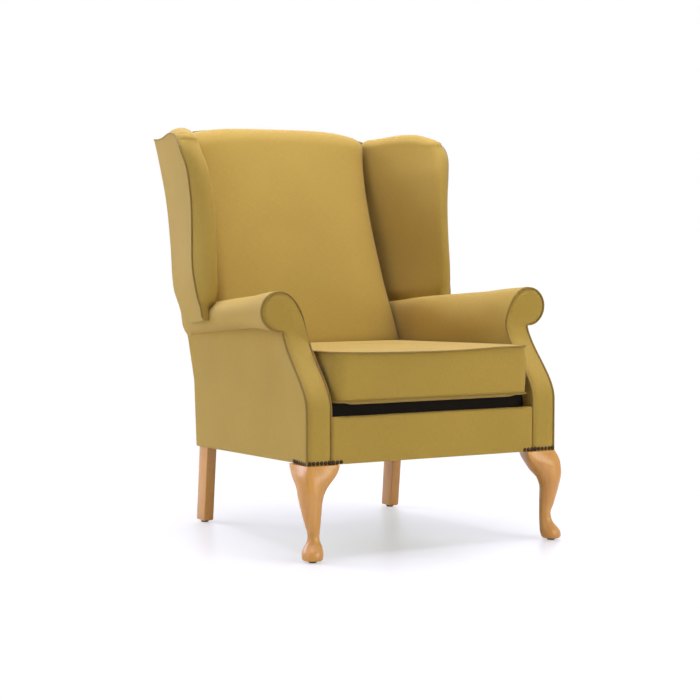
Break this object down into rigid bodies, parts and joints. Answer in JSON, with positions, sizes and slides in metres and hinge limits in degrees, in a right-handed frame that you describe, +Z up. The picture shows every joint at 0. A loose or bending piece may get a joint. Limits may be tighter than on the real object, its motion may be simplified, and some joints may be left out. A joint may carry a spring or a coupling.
{
  "type": "fireside chair",
  "caption": "Upholstered wing armchair with a loose piped seat cushion, scroll arms, cabriole front legs and raked rear legs.",
  "frame": {"origin": "on the floor under the middle of the chair's overall width and depth", "axes": "+Z up; +X towards the sitter's left hand; -Y is the direction the sitter faces, so +Y points to the back"},
  "size_m": [0.7794, 0.9259, 1.012],
  "materials": {
    "upholstery": "plain fine-woven cover over padding, matt",
    "piping": "narrow bias-cut piping in the cover cloth, matt",
    "show_wood": "honey-coloured hardwood, satin lacquer",
    "frame_wood": "bare beech or birch, unfinished",
    "steel": "zinc-plated steel",
    "glide": "dark brown moulded plastic",
    "wadding": "polyester wadding on hessian",
    "black_cloth": "thin dark woven lining cloth",
    "webbing": "woven jute and elastic webbing",
    "nails": "domed nail heads, dark antique finish",
    "foam": "flexible polyurethane foam in a thin wrap",
    "zip_tape": "woven nylon zip tape and coil",
    "zip_metal": "small cast slider"
  },
  "bodies": {
    "chair": {"front_rail": "frame_wood", "rear_rail": "frame_wood", "side_rail_left": "frame_wood", "side_rail_right": "frame_wood", "corner_blocks": "frame_wood", "front_leg_left": "show_wood", "front_leg_right": "show_wood", "leg_bolts": "steel", "back_post_left": "show_wood", "back_post_right": "show_wood", "crest_rail": "frame_wood", "back_lower_rail": "frame_wood", "arm_post_left": "frame_wood", "arm_post_right": "frame_wood", "arm_rail_left": "frame_wood", "arm_rail_right": "frame_wood", "arm_stuffing_rail_left": "frame_wood", "arm_stuffing_rail_right": "frame_wood", "wing_post_left": "frame_wood", "wing_post_right": "frame_wood", "wing_rail_left": "frame_wood", "wing_rail_right": "frame_wood", "seat_springs": "steel", "spring_plates": "steel", "spring_pad": "wadding", "platform_cloth": "black_cloth", "back_webbing": "webbing", "front_border": "upholstery", "arm_pad_left": "upholstery", "arm_pad_right": "upholstery", "facing_board_left": "frame_wood", "facing_board_right": "frame_wood", "arm_facing_left": "upholstery", "arm_facing_right": "upholstery", "outside_arm_left": "upholstery", "outside_arm_right": "upholstery", "wing_pad_left": "upholstery", "wing_pad_right": "upholstery", "outside_wing_left": "upholstery", "outside_wing_right": "upholstery", "back_pad": "upholstery", "crest_pad": "upholstery", "outside_back": "upholstery", "dust_cover": "black_cloth", "facing_piping_left": "piping", "facing_piping_right": "piping", "wing_piping_left": "piping", "wing_piping_right": "piping", "nail_studs": "nails", "foot_glides": "glide"},
    "seat_cushion": {"cushion_cover": "upholstery", "cushion_core": "foam", "cushion_zip_panel": "upholstery", "cushion_zip": "zip_tape", "cushion_piping": "piping"},
    "zip_slider": {"zip_slider": "zip_metal"}
  },
  "joints": [
    {"name": "cushion_lift", "type": "slide", "parent": "chair", "child": "seat_cushion", "axis": [0, 0, 1], "range_m": [0, 0.7]},
    {"name": "zip_slide", "type": "slide", "parent": "seat_cushion", "child": "zip_slider", "axis": [1, 0, 0], "range_m": [0, 0.41]}
  ]
}
